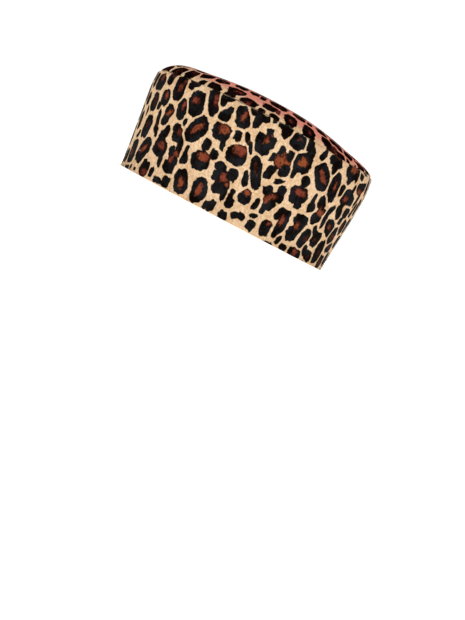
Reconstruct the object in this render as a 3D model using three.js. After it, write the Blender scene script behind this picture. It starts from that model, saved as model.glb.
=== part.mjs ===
// A pillbox hat of short-haired hide: an oval side band that flares a little towards its top,
// and a soft crown tip sewn onto the band's upper edge.
//
// Millimetres, +Z up. The origin is the middle of the oval that the hat rests on, at its rim.
// The front of the hat faces -Y, and the wearer's left side lies towards +X.
import * as THREE from "three";

// Driving dimensions, measured on the outside of the hide.
const RIM_WIDTH = 180;
const RIM_DEPTH = 196;
const SEAM_HEIGHT = 79.5;
// The seam round the top arches up by this much at the front and at the back.
const SEAM_ARCH = 3;
const CROWN_RISE = 19.6;

const WALL = 3;
// The rim is rounded on both sides and flat between them, where the hat rests.
const RIM_ROUND = 0.7;
const SEAM_GAP = 0.3;
// The tip's seam allowance is turned down inside the band.
const ALLOWANCE_DEPTH = 8;
const ALLOWANCE_WALL = 1.8;
const SEGMENTS = 72;

// The band's outer side from the top of the rounded rim to the seam. `up` is the share of the seam's
// height at that place, and `out` is how far the hide stands out from the rim's oval.
const BAND_OUTSIDE = [
  { up: 0.01, out: 0.0 },
  { up: 0.16, out: 0.3 },
  { up: 0.35, out: 1.9 },
  { up: 0.55, out: 3.6 },
  { up: 0.74, out: 5.1 },
  { up: 0.87, out: 6.0 },
  { up: 0.95, out: 5.8 },
  { up: 1.0, out: 4.9 },
];
const SEAM_OUT = BAND_OUTSIDE.at(-1).out;

// How the crown tip rounds over on either side. A shallow dome takes `dome` of the rise, and a
// rounded shoulder beside the seam takes the rest. The higher its `power`, the tighter the shoulder.
const RIGHT_SIDE = { dome: 0.48, power: 14 };
const LEFT_SIDE = { dome: 0.8, power: 10 };
// A soft, shallow dent inside the tip's right shoulder.
const DENT = { x: -54, y: -20, width: 22, length: 50, depth: 1.6 };

// The tip's rings from its middle to its edge, as shares of the way out to the seam.
const TIP_RINGS = [0.18, 0.34, 0.48, 0.6, 0.7, 0.78, 0.84, 0.89, 0.93, 0.96, 0.985];
// The inner side of the tip ends at this share, where it meets the seam allowance.
const LAST_INNER_RING = 0.96;

// A point on the rim's oval moved outwards by `out`, at `turn` radians from the front.
function ovalPoint(turn, out, height) {
  const x = (RIM_WIDTH / 2 + out) * Math.sin(turn);
  const y = -(RIM_DEPTH / 2 + out) * Math.cos(turn);
  return new THREE.Vector3(x, y, height);
}

const seamHeight = (turn) => SEAM_HEIGHT + SEAM_ARCH * Math.cos(turn) ** 2;

// A point on the tip's outer side, where `share` runs from 0 in the middle to 1 at the seam.
function tipPoint(turn, share) {
  const towardsLeft = (1 + Math.sin(turn)) / 2;
  const dome = THREE.MathUtils.lerp(RIGHT_SIDE.dome, LEFT_SIDE.dome, towardsLeft);
  const power = THREE.MathUtils.lerp(RIGHT_SIDE.power, LEFT_SIDE.power, towardsLeft);
  const fall = dome * share ** 2 + (1 - dome) * share ** power;
  const arch = (seamHeight(turn) - SEAM_HEIGHT) * share ** 2;
  const point = ovalPoint(turn, SEAM_OUT, 0).multiplyScalar(share);
  const fromDent = ((point.x - DENT.x) / DENT.width) ** 2 + ((point.y - DENT.y) / DENT.length) ** 2;
  point.z = SEAM_HEIGHT + arch + CROWN_RISE * (1 - fall) - DENT.depth * Math.exp(-fromDent);
  return point;
}

// The point on the tip's inner side, one wall's thickness in from its outer side.
function tipInnerPoint(turn, share) {
  const step = 0.002;
  const outwards = ovalPoint(turn, SEAM_OUT, 0).normalize();
  const along = tipPoint(turn, share + step).sub(tipPoint(turn, share - step));
  const run = along.dot(outwards);
  const normal = outwards.multiplyScalar(-along.z).setZ(run).normalize();
  return tipPoint(turn, share).addScaledVector(normal, -WALL);
}

// A closed skin through rings of points, where each ring is a function of the turn. Between two
// poles, the first and last rings are closed by fans. Without poles, the last ring meets the first.
function skin(rings, firstPole = null, lastPole = null) {
  const positions = [];
  const faces = [];
  for (const ring of rings) {
    for (let i = 0; i < SEGMENTS; i += 1) {
      positions.push(...ring((2 * Math.PI * i) / SEGMENTS));
    }
  }
  const at = (ring, i) => ring * SEGMENTS + (i % SEGMENTS);
  const join = (lower, upper) => {
    for (let i = 0; i < SEGMENTS; i += 1) {
      faces.push(at(lower, i), at(lower, i + 1), at(upper, i + 1));
      faces.push(at(lower, i), at(upper, i + 1), at(upper, i));
    }
  };
  for (let ring = 0; ring + 1 < rings.length; ring += 1) {
    join(ring, ring + 1);
  }
  const last = rings.length - 1;
  if (firstPole && lastPole) {
    const firstCentre = positions.push(...firstPole) / 3 - 1;
    const lastCentre = positions.push(...lastPole) / 3 - 1;
    for (let i = 0; i < SEGMENTS; i += 1) {
      faces.push(at(0, i + 1), at(0, i), firstCentre);
      faces.push(at(last, i), at(last, i + 1), lastCentre);
    }
  } else {
    join(last, 0);
  }
  const geometry = new THREE.BufferGeometry();
  geometry.setAttribute("position", new THREE.Float32BufferAttribute(positions, 3));
  geometry.setIndex(faces);
  geometry.computeVertexNormals();
  return geometry;
}

// The side band: up its outer side, over its top edge, down its inner side and round the rim.
function sideBandGeometry() {
  const height = (turn, up) => up * (seamHeight(turn) - SEAM_GAP / 2);
  const side = (inwards) =>
    BAND_OUTSIDE.map(({ up, out }) => (turn) => ovalPoint(turn, out - inwards, height(turn, up)));
  const restingFlat = [RIM_ROUND - WALL, -RIM_ROUND].map((out) => (turn) => ovalPoint(turn, out, 0));
  return skin([...side(0), ...side(WALL).reverse(), ...restingFlat]);
}

// The crown tip: its inner side, its seam allowance inside the band, its edge over the band's top,
// and its domed outer side.
function crownTipGeometry() {
  const allowanceOut = SEAM_OUT - WALL - SEAM_GAP;
  const edgeRing = (out, down) => (turn) =>
    ovalPoint(turn, out, seamHeight(turn) + SEAM_GAP / 2 - down);
  const inside = TIP_RINGS.filter((share) => share <= LAST_INNER_RING).map(
    (share) => (turn) => tipInnerPoint(turn, share),
  );
  const allowance = [
    edgeRing(allowanceOut - ALLOWANCE_WALL, ALLOWANCE_DEPTH),
    edgeRing(allowanceOut, ALLOWANCE_DEPTH),
    edgeRing(allowanceOut, 0),
    edgeRing(SEAM_OUT, 0),
  ];
  const outside = TIP_RINGS.map((share) => (turn) => tipPoint(turn, share)).reverse();
  const outerTop = tipPoint(0, 0);
  const innerTop = outerTop.clone().setZ(outerTop.z - WALL);
  return skin([...inside, ...allowance, ...outside], innerTop, outerTop);
}

function hideMesh(name, geometry, colour) {
  const material = new THREE.MeshStandardMaterial({ color: colour, roughness: 0.6, metalness: 0 });
  const mesh = new THREE.Mesh(geometry, material);
  mesh.name = name;
  return mesh;
}

const hat = new THREE.Group();
hat.add(hideMesh("side_band", sideBandGeometry(), 0xb08a62));
hat.add(hideMesh("crown_tip", crownTipGeometry(), 0xc08270));

export default hat;
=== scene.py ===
"""A pillbox hat of short-haired hide with a leopard print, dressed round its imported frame.

Lengths are in metres and angles in radians, unless a name or a docstring says millimetres or degrees.
The hat rests on its rim at the origin. Its front faces -Y and the wearer's left side is at +X.
"""

import logging
import math
from dataclasses import dataclass, field
from enum import Enum
from typing import NamedTuple

import bpy
import numpy as np
from mathutils import Matrix, Vector


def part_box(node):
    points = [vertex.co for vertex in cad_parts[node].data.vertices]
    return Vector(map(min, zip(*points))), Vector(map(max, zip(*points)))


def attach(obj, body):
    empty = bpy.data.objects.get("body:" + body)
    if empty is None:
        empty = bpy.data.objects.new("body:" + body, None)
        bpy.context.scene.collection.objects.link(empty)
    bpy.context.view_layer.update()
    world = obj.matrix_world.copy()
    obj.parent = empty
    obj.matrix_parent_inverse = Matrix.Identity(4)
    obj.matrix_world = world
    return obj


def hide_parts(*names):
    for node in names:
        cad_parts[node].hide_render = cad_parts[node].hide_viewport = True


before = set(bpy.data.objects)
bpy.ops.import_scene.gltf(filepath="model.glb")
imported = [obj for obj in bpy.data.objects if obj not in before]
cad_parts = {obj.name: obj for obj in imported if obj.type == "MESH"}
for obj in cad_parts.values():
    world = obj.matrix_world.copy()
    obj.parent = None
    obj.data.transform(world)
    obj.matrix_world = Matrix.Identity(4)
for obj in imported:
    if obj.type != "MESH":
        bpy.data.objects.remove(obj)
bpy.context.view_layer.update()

MM = 0.001
BAKE_MAP = "OFBake"

Colour = tuple[int, int, int]
Span = tuple[float, float]
Place = tuple[float, float, float]

log = logging.getLogger("hat")


class Role(Enum):
    """What a part of a mark is."""

    SPOT = "starts a new black mark"
    LOBE = "a further black part of the mark"
    CORE = "a brown part over it"
    DUSK = "a dark brown part over it"
    NOTCH = "bare ground cut into it"


SPOT, LOBE, CORE, DUSK, NOTCH = Role


class Part(NamedTuple):
    """An oval part of a mark. Places and sizes are in millimetres, and the lean is anticlockwise in
    degrees."""

    role: Role
    along: float
    up: float
    width: float
    height: float
    lean: float = 0


# The print on the front of the band, as a chart. The first number of a place runs round the band
# from the middle of the front towards the wearer's left, and the second is the height above the rim.
BAND_PRINT = (
    # beside the seam, from the wearer's right to the left
    Part(SPOT, -126, 71, 9, 12),
    Part(SPOT, -111, 70, 17, 12), Part(CORE, -110, 74, 6.5, 6),
    Part(SPOT, -95.2, 75.5, 8.5, 9.5), Part(DUSK, -94.3, 78, 5, 3.8),
    Part(SPOT, -79.5, 71.5, 12.5, 18.5, 10), Part(CORE, -79, 72.2, 6, 7.5), Part(CORE, -77, 77, 4.5, 5),
    Part(SPOT, -67, 80, 9.5, 5.5), Part(LOBE, -68.7, 76.5, 4.5, 5), Part(DUSK, -66, 80.8, 5, 2.6),
    Part(SPOT, -57.6, 66.7, 14, 18.8, 13), Part(CORE, -58.5, 68.6, 7.5, 6, 10),
    Part(SPOT, -44, 73, 8.8, 19, 22), Part(CORE, -43, 75.8, 4.6, 10, 14),
    Part(SPOT, -38, 77.3, 7, 7.5), Part(LOBE, -34.5, 80.6, 8, 4, 15),
    Part(SPOT, -31.4, 67.5, 8.4, 8.6, -25), Part(LOBE, -29.8, 72, 4.4, 6.5),
    Part(SPOT, -18.8, 72.4, 10.5, 15, 22), Part(LOBE, -23, 77.6, 4.5, 4.5),
    Part(CORE, -18, 74.5, 4.6, 8.5, -12),
    Part(SPOT, -13.5, 80.3, 7, 5), Part(LOBE, -8, 77, 6, 9), Part(LOBE, -8, 73, 3.6, 5),
    Part(LOBE, -3, 79.5, 6, 4.5), Part(DUSK, -11, 81.8, 6, 2.4),
    Part(SPOT, 3.2, 81.6, 4, 4),
    Part(SPOT, 8.3, 80.8, 4.5, 4), Part(LOBE, 14.5, 79.5, 7.4, 8), Part(LOBE, 14.2, 75.5, 4, 5),
    Part(SPOT, 25.8, 75.6, 11.8, 11.6), Part(DUSK, 25.4, 78.8, 4, 3.4),
    Part(SPOT, 50.3, 76.5, 4.6, 8, -25),
    Part(SPOT, 64.3, 77.2, 13, 7.9), Part(LOBE, 65, 72, 6.5, 8), Part(DUSK, 65.5, 80, 6, 2.4),
    Part(SPOT, 86.5, 75.5, 15.1, 12.3), Part(LOBE, 86.6, 69.8, 6.5, 7), Part(LOBE, 95.8, 74.4, 5, 8.1),
    Part(CORE, 88.8, 78.8, 11.5, 8),
    Part(SPOT, 104.3, 75.5, 7.6, 4.7, -12),
    Part(SPOT, 110.5, 79, 9.7, 2.7),
    Part(SPOT, 112.3, 68.8, 20.5, 6.6, 10), Part(CORE, 112, 65.2, 12, 4.6),
    Part(LOBE, 116, 58.3, 4.9, 10.7, -12),
    # round the wearer's right side
    Part(SPOT, -136.5, 76, 9, 11), Part(SPOT, -136, 60, 9, 15, 8), Part(DUSK, -136, 60, 4, 7),
    Part(SPOT, -136.5, 44, 9, 12, -10), Part(SPOT, -136.5, 26, 10, 17, 6), Part(DUSK, -137, 26, 4, 8),
    Part(SPOT, -137, 8, 9, 13), Part(SPOT, -147, 68, 9, 16, 10), Part(SPOT, -147, 50, 9, 14),
    Part(DUSK, -147, 50, 4, 6), Part(SPOT, -148, 33, 9, 14, -8), Part(SPOT, -147, 15, 9, 15),
    # round the wearer's left side
    Part(SPOT, 129, 72, 9, 15, 8), Part(SPOT, 129.5, 55, 9, 13), Part(DUSK, 129.5, 55, 4, 6),
    Part(SPOT, 130.5, 39, 9, 12, -8), Part(SPOT, 129.5, 25, 9, 11), Part(SPOT, 128, 9, 9, 12, 10),
    Part(SPOT, 142, 76, 9, 11), Part(SPOT, 142, 60, 9, 15), Part(DUSK, 142, 60, 4, 7),
    Part(SPOT, 142, 42, 9, 15, 8), Part(SPOT, 141.5, 25, 9, 13), Part(SPOT, 141, 9, 9, 12),
    # across the upper half
    Part(SPOT, -126, 55.5, 9, 9),
    Part(SPOT, -116.8, 47, 4, 7, 25),
    Part(SPOT, -108, 54.8, 12.6, 14.6, -5), Part(DUSK, -107, 56.2, 5, 7.5),
    Part(SPOT, -92, 61, 11.4, 11.4), Part(LOBE, -97.4, 54, 5, 6.5), Part(CORE, -91.8, 62.6, 4.8, 5.5),
    Part(SPOT, -91.4, 46.2, 5, 10, 5), Part(LOBE, -88.3, 37, 6, 5.4, -10),
    Part(LOBE, -86, 33.6, 3, 4, 20), Part(DUSK, -89.4, 41, 4.2, 3.6),
    Part(SPOT, -80.3, 53.5, 9.5, 8, -15), Part(LOBE, -81.5, 47, 8, 9.5, -15),
    Part(CORE, -79.3, 52.4, 4, 9, -50),
    Part(SPOT, -68, 58, 10.6, 14.5, 10), Part(CORE, -67.5, 61.3, 4.2, 7, -20),
    Part(SPOT, -60.2, 50.6, 3, 5.6),
    Part(SPOT, -47.8, 49.6, 13.4, 22, -27), Part(CORE, -47.9, 50.7, 5.3, 13, -38),
    Part(SPOT, -29, 56.4, 13.6, 12.6, 5), Part(LOBE, -23.4, 48.4, 3.5, 8.6, 12),
    Part(CORE, -27.8, 59, 8.5, 7.8),
    Part(SPOT, -16.3, 59.6, 5, 7), Part(CORE, -14.6, 55.8, 2.4, 2.4),
    Part(SPOT, -9.4, 62, 3.3, 7, 24), Part(CORE, -6.2, 58.7, 2.6, 2.6),
    Part(LOBE, -3.8, 55.4, 3.3, 7.2, 24),
    Part(SPOT, -11, 46.5, 14.4, 14.8), Part(CORE, -10.5, 50.2, 9.4, 8.6),
    Part(SPOT, 3.4, 60.8, 11, 12), Part(LOBE, -1, 65.4, 5.5, 7.5, -8), Part(LOBE, 8, 66.2, 5, 8, 8),
    Part(CORE, 3.7, 66.6, 4.2, 7), Part(CORE, 5.4, 70.5, 2.2, 3.5), Part(LOBE, 3.4, 71.9, 4.6, 5.6),
    Part(SPOT, 16.4, 46.7, 6.6, 11.5, -12), Part(CORE, 21.5, 57.8, 14, 10.6), Part(CORE, 20, 63, 4, 5),
    Part(LOBE, 17.4, 64.7, 4.2, 6.5), Part(LOBE, 25, 64.2, 5.4, 7.2),
    Part(LOBE, 13.8, 57, 4, 6.6), Part(LOBE, 26.3, 52.3, 7.4, 8.8),
    Part(SPOT, 26.8, 44, 6.6, 3.8, 22),
    Part(SPOT, 36.5, 63.6, 15, 13.6), Part(LOBE, 33.7, 54.8, 3.6, 7.6), Part(LOBE, 35.8, 77.6, 5.2, 7.6),
    Part(LOBE, 39, 73, 6.4, 9.5), Part(CORE, 36.6, 65, 7.8, 7.2),
    Part(SPOT, 46, 42.2, 16, 12.8), Part(LOBE, 45.7, 53, 6.8, 8.4), Part(LOBE, 50, 36, 6, 8),
    Part(LOBE, 43.6, 37.5, 5, 6), Part(CORE, 46.6, 44, 10.4, 6.4), Part(LOBE, 45.6, 48.6, 4.2, 3.6),
    Part(SPOT, 57.3, 61.8, 13.4, 20.6, 34), Part(CORE, 57.5, 62.4, 4.6, 13, 50),
    Part(SPOT, 73.6, 59.4, 11, 22.9, 14), Part(CORE, 74, 60.5, 4.1, 10.5, 18),
    Part(SPOT, 84.2, 60.6, 5.4, 8.6, 10),
    Part(SPOT, 95.2, 57.3, 13, 12.8), Part(LOBE, 103.5, 56.5, 11.9, 8.6), Part(LOBE, 100, 65.3, 3.5, 7.5),
    Part(LOBE, 96, 45.7, 8, 13.4, 38), Part(CORE, 95.4, 55.7, 7, 4.6),
    Part(SPOT, 109.3, 46.8, 9.7, 7.9), Part(LOBE, 107, 40, 5.8, 5.1),
    Part(SPOT, 121, 51.5, 5.9, 11.8, -20),
    # across the lower half
    Part(SPOT, -126, 38, 9, 15, 10),
    Part(SPOT, -115.7, 27.7, 4.6, 8, -40),
    Part(SPOT, -104.4, 35.8, 13.6, 17.6, 5), Part(DUSK, -104.2, 37.6, 7, 5.5),
    Part(SPOT, -75, 26, 14.6, 13.4), Part(LOBE, -77.4, 34.4, 7, 6.4, -20), Part(LOBE, -74.3, 39.2, 6, 8),
    Part(LOBE, -69, 17, 4.2, 8.4, 12), Part(CORE, -74.2, 27.6, 9.5, 6.3, 8),
    Part(SPOT, -65.5, 44.8, 6.5, 6), Part(CORE, -61.4, 42.8, 5.4, 6.4, 20),
    Part(LOBE, -62, 37.6, 8.6, 5.4, -12), Part(LOBE, -56.3, 34.8, 5.4, 12, 18),
    Part(LOBE, -58.6, 15.4, 11.4, 8, -10), Part(CORE, -58.6, 22, 5.3, 7),
    Part(CORE, -55.8, 27.4, 6.6, 4.6), Part(LOBE, -61.2, 27.8, 5, 7.4), Part(LOBE, -54, 21, 4.2, 6.6),
    Part(SPOT, -47.6, 26.6, 6.4, 8), Part(LOBE, -48.4, 33, 3.4, 6.6),
    Part(SPOT, -34.3, 31, 14, 14.6, 20), Part(LOBE, -34.6, 43.6, 6.6, 9),
    Part(CORE, -33, 34.4, 10.5, 7.3, 12), Part(LOBE, -26.2, 39.4, 6, 6.2),
    Part(SPOT, 3, 33.6, 4.4, 10.6, 15),
    Part(SPOT, 7.8, 41.8, 8.6, 24, 27), Part(DUSK, 6, 45, 3, 9, 27),
    Part(SPOT, 61.2, 43.5, 3.2, 10.7, 8), Part(LOBE, 62.6, 38, 6.5, 6.6),
    Part(SPOT, 70.6, 45.6, 8.2, 10.1, 20), Part(LOBE, 73.3, 32.8, 10.2, 9.6), Part(LOBE, 75, 39, 7.6, 6.4),
    Part(CORE, 74, 38.5, 8.4, 5.2, -20), Part(CORE, 72, 41.6, 3, 3),
    Part(SPOT, 84.7, 44.3, 4.8, 8, -35), Part(LOBE, 83.2, 35.8, 4.8, 12.3, 8),
    Part(SPOT, 96, 31.8, 15.8, 10.7, -28), Part(CORE, 95.2, 31.8, 8, 3.8, -25),
    Part(SPOT, 109.4, 27, 11.9, 13.5, 10), Part(DUSK, 110.5, 26, 5, 6),
    Part(SPOT, 119.6, 36.5, 11.9, 11.3, -15), Part(DUSK, 119, 37, 6, 5),
    # beside the rim
    Part(SPOT, -126.5, 9, 9, 11),
    Part(SPOT, -113.5, 14, 13.6, 18.4), Part(DUSK, -114.2, 15, 5, 8),
    Part(SPOT, -104.6, 2.8, 3, 4),
    Part(SPOT, -96.4, 2.9, 3, 2.5),
    Part(SPOT, -95, 18.3, 14, 20.6, -25), Part(CORE, -94.8, 19.8, 5.3, 11, -50),
    Part(NOTCH, -100.6, 17.2, 6.6, 1.3, 18),
    Part(SPOT, -83.3, 7, 11, 12, -10), Part(CORE, -81.5, 4.2, 8.6, 6),
    Part(SPOT, -73.1, 6.6, 4.6, 7, 10),
    Part(SPOT, -62.7, 3.3, 8, 4.4), Part(LOBE, -54.3, 5, 7.4, 8),
    Part(SPOT, -41.5, 10.6, 11.8, 17.6, 24), Part(CORE, -40.8, 10.3, 5.3, 8, 25),
    Part(SPOT, -25, 11, 12, 18.4, 12), Part(CORE, -25, 11.4, 4.8, 8.6, 5),
    Part(SPOT, -12.4, 28, 11, 9, 20), Part(LOBE, -12.5, 18.8, 9.6, 8.6), Part(LOBE, -6.4, 17.5, 4, 9, 10),
    Part(CORE, -11.7, 28, 8.6, 8, 25), Part(CORE, -7.2, 24.4, 3.6, 4.6, 25),
    Part(LOBE, -17.6, 33.4, 8, 7.6, -35), Part(LOBE, -18, 26.8, 5.6, 7.6),
    Part(LOBE, -7, 32.2, 8.2, 9, -15),
    Part(SPOT, -14.8, 4, 4.6, 5), Part(LOBE, -10.5, 5.4, 4.6, 8.4),
    Part(SPOT, 0.1, 3.2, 7, 5.6),
    Part(SPOT, -0.7, 20, 3.6, 6.6), Part(LOBE, 0.4, 13.4, 6.4, 7.6),
    Part(SPOT, 9.2, 22, 9.4, 9.8), Part(CORE, 9.2, 26, 6, 4.3),
    Part(SPOT, 8.4, 7.2, 5.2, 5), Part(LOBE, 13.7, 8.6, 5.2, 5),
    Part(SPOT, 19, 21.3, 4.2, 7.8),
    Part(SPOT, 22.5, 13.6, 6.6, 3, 22),
    Part(SPOT, 22.9, 5.6, 6.6, 7),
    Part(SPOT, 22.3, 34.4, 7, 6.6, 30), Part(LOBE, 31.6, 39.4, 6, 7), Part(LOBE, 33.6, 33.4, 5.4, 7.6),
    Part(CORE, 27, 31, 10.6, 5.8, 35), Part(CORE, 25.3, 28, 3.6, 4.6),
    Part(LOBE, 30, 25.8, 5.6, 8.8, -10), Part(LOBE, 25.6, 20, 4, 8),
    Part(SPOT, 34.7, 9, 8.2, 12, 5), Part(CORE, 36.4, 13.4, 4.4, 3.8),
    Part(SPOT, 46, 18.5, 8, 18), Part(LOBE, 39.8, 23.6, 5.2, 9.6, -14), Part(LOBE, 43, 26.6, 6, 3),
    Part(LOBE, 44.6, 10.4, 5.6, 9), Part(CORE, 44.3, 19.5, 4.6, 10),
    Part(SPOT, 50.2, 5.8, 5, 7.2),
    Part(SPOT, 57.1, 2.7, 8, 4.4),
    Part(SPOT, 58.7, 14.6, 11, 11.3), Part(LOBE, 60.3, 26, 13.6, 9.4), Part(LOBE, 63.3, 20.5, 4.8, 7.5),
    Part(CORE, 59.2, 21, 5.4, 6.2), Part(NOTCH, 54, 20.2, 3.6, 1.6),
    Part(SPOT, 71.3, 2.8, 14, 7.9), Part(CORE, 71, 3.5, 6, 6.3),
    Part(SPOT, 73.3, 15.8, 10.2, 15.6, -12), Part(DUSK, 75.3, 15.6, 5.3, 4.4),
    Part(SPOT, 86.4, 19.4, 11.7, 11.8), Part(LOBE, 79, 26, 4.8, 8.6, 35), Part(DUSK, 86.8, 18.6, 4.8, 5.2),
    Part(SPOT, 88.6, 5.2, 12.3, 7.5, -18), Part(LOBE, 80.8, 8.4, 6, 7.5, 28),
    Part(DUSK, 88.6, 4.8, 4.8, 3.4),
    Part(SPOT, 101.2, 11.7, 12.3, 18.4, 10), Part(DUSK, 102, 10.4, 4.5, 6.8),
    Part(SPOT, 115, 5.3, 10.8, 10.7), Part(DUSK, 114.5, 5, 5, 4),
    Part(SPOT, 117.3, 18, 11.9, 7.9), Part(DUSK, 117.5, 18, 6, 3.4),
)

# The print on the front of the crown tip, seen from above. The places are X and Y.
TIP_PRINT = (
    Part(SPOT, -88.5, -31, 8, 22, 18), Part(DUSK, -88.3, -31, 3.5, 9, 18),
    Part(SPOT, -80.3, -34, 6.5, 11, 15),
    Part(SPOT, -78, -52.5, 9, 16.5, 28), Part(DUSK, -78, -52.5, 4, 8, 28),
    Part(SPOT, -67.5, -64, 9, 14, 25), Part(DUSK, -66, -66, 3.5, 6, 25),
    Part(SPOT, -55.6, -69.3, 11, 11),
    Part(SPOT, -62, -54, 10, 13, 15), Part(DUSK, -62, -54, 4, 6),
    Part(SPOT, -57, -80, 7, 3.6, -35),
    Part(SPOT, -48.5, -86, 12, 6, -40),
    Part(SPOT, -44.6, -76, 10, 11.5), Part(CORE, -43.5, -78.5, 4, 3.4),
    Part(SPOT, -47, -61, 11, 15), Part(CORE, -47, -60, 5, 6),
    Part(SPOT, -32, -88.8, 13.4, 9.4, -15), Part(CORE, -31, -89.2, 6, 4, -10),
    Part(LOBE, -35.5, -94.4, 8.5, 6, -20),
    Part(SPOT, -20, -97.5, 13, 6.4, -8), Part(CORE, -20.5, -98.5, 6, 2.8),
    Part(SPOT, -30, -72, 9.5, 18),
    Part(SPOT, -30, -54, 10, 15), Part(CORE, -30, -55, 4.6, 6),
    Part(SPOT, -19.5, -74, 8, 19),
    Part(SPOT, -13, -77, 5, 18),
    Part(SPOT, -15, -56, 10, 17), Part(CORE, -15, -57, 4, 8),
    Part(SPOT, -9.5, -101, 6, 2.8),
    Part(SPOT, -4.5, -94.2, 11.4, 9), Part(CORE, 1.5, -94.5, 4.6, 6.6),
    Part(SPOT, 0.5, -75, 14.4, 27), Part(DUSK, 3, -80, 4, 10),
    Part(SPOT, 1, -52, 13, 16), Part(CORE, 1, -53, 5, 7),
    Part(SPOT, 0.8, -101.4, 7, 3.6),
    Part(SPOT, 13.3, -93.5, 11, 14), Part(CORE, 14, -96, 5, 5),
    Part(SPOT, 18.5, -73, 12, 17), Part(CORE, 18.5, -79, 4, 4),
    Part(SPOT, 19, -54, 11, 17), Part(CORE, 19, -54, 5, 6),
    Part(SPOT, 28, -71, 5, 14),
    Part(SPOT, 29.8, -90, 11.6, 15.4, 5), Part(CORE, 31, -91, 4, 6),
    Part(SPOT, 39.5, -67, 10.4, 17),
    Part(SPOT, 38, -48, 10, 15), Part(CORE, 38, -48, 4, 6),
    Part(SPOT, 47.2, -80.6, 12.2, 14.6, 10), Part(DUSK, 54.6, -77, 6, 14, -10),
    Part(LOBE, 61, -77.5, 9.6, 15, -18), Part(CORE, 57.5, -82, 4.6, 4.4),
    Part(SPOT, 55, -66, 13.6, 18), Part(CORE, 55.5, -71, 5, 7),
    Part(SPOT, 55, -46, 11, 15), Part(CORE, 55, -46, 4.6, 6),
    Part(SPOT, 67, -58, 9, 15, -10),
    Part(SPOT, 70, -41, 9, 13), Part(CORE, 70, -41, 4, 5),
    Part(SPOT, 68.2, -69, 3.5, 4.5, -35),
    Part(SPOT, 79.4, -48, 8.5, 16, -33), Part(DUSK, 79.4, -48, 3.5, 7, -33),
    Part(SPOT, 77, -61, 3.5, 5, -33),
    Part(SPOT, 87.6, -30.5, 7, 16, -17), Part(DUSK, 87.6, -30.5, 3, 7, -17),
)


def linear_colour(colour: Colour) -> tuple[float, float, float, float]:
    """Turns a colour as a screen shows it, from 0 to 255, into the linear one that shaders take.

    Args:
        colour: The red, green and blue parts.

    Returns:
        The linear red, green and blue, and an alpha of 1.
    """
    parts = [part / 255 for part in colour]
    linear = [p / 12.92 if p <= 0.04045 else ((p + 0.055) / 1.055) ** 2.4 for p in parts]
    return (*linear, 1.0)


def smooth_step(low: float, high: float, values: np.ndarray) -> np.ndarray:
    """Rises smoothly from 0 at `low` to 1 at `high`.

    Args:
        low: Where the rise starts.
        high: Where it ends, which may be less than `low`.
        values: The places to work it out at.

    Returns:
        An array of numbers from 0 to 1.
    """
    share = np.clip((values - low) / (high - low), 0, 1)
    return share * share * (3 - 2 * share)


class ProfileRow(NamedTuple):
    """A place on the band's outer side: the share of the seam's height, and how far out it stands."""

    up: float
    out: float


BAND_PROFILE = (
    ProfileRow(0.01, 0.0),
    ProfileRow(0.16, 0.3 * MM),
    ProfileRow(0.35, 1.9 * MM),
    ProfileRow(0.55, 3.6 * MM),
    ProfileRow(0.74, 5.1 * MM),
    ProfileRow(0.87, 6.0 * MM),
    ProfileRow(0.95, 5.8 * MM),
    ProfileRow(1.0, 4.9 * MM),
)


class SettledRow(NamedTuple):
    """How far the soft hat's two ends are drawn in at a share of the band's height."""

    up: float
    right_in: float
    left_in: float


SETTLED_ENDS = (
    SettledRow(0.0, 1.2 * MM, 0.9 * MM),
    SettledRow(0.12, 0.8 * MM, 0.7 * MM),
    SettledRow(0.35, 0.3 * MM, 1.3 * MM),
    SettledRow(0.6, 0.2 * MM, 1.9 * MM),
    SettledRow(0.8, -0.3 * MM, 2.5 * MM),
    SettledRow(0.9, -0.5 * MM, 3.3 * MM),
    SettledRow(1.0, -0.8 * MM, 4.3 * MM),
)


class Swell(NamedTuple):
    """A gentle wave in the hide: its height, its millimetres for each radian along the three axes,
    its start, and how far it is bent to and fro on its way up."""

    height: float
    along_x: float = math.inf
    along_y: float = math.inf
    along_z: float = math.inf
    start: float = 0.0
    bend: float = 0.0


SWELLS = (
    Swell(1.0, along_x=17, start=0.4, bend=1.3),
    Swell(1.0, along_y=19, along_z=-31, start=2.1),
    Swell(0.7, along_x=9.5, along_y=-14, along_z=12),
    Swell(0.5, along_x=21, along_y=11, along_z=8.3),
)
# The bend's millimetres for each radian, and about how high the swells stand together.
SWELL_BEND_LENGTH = 23
SWELLS_TOGETHER = 2.2


class Ring(NamedTuple):
    """One level ring of the hat: its height, half width and half depth."""

    height: float
    half_width: float
    half_depth: float


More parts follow.
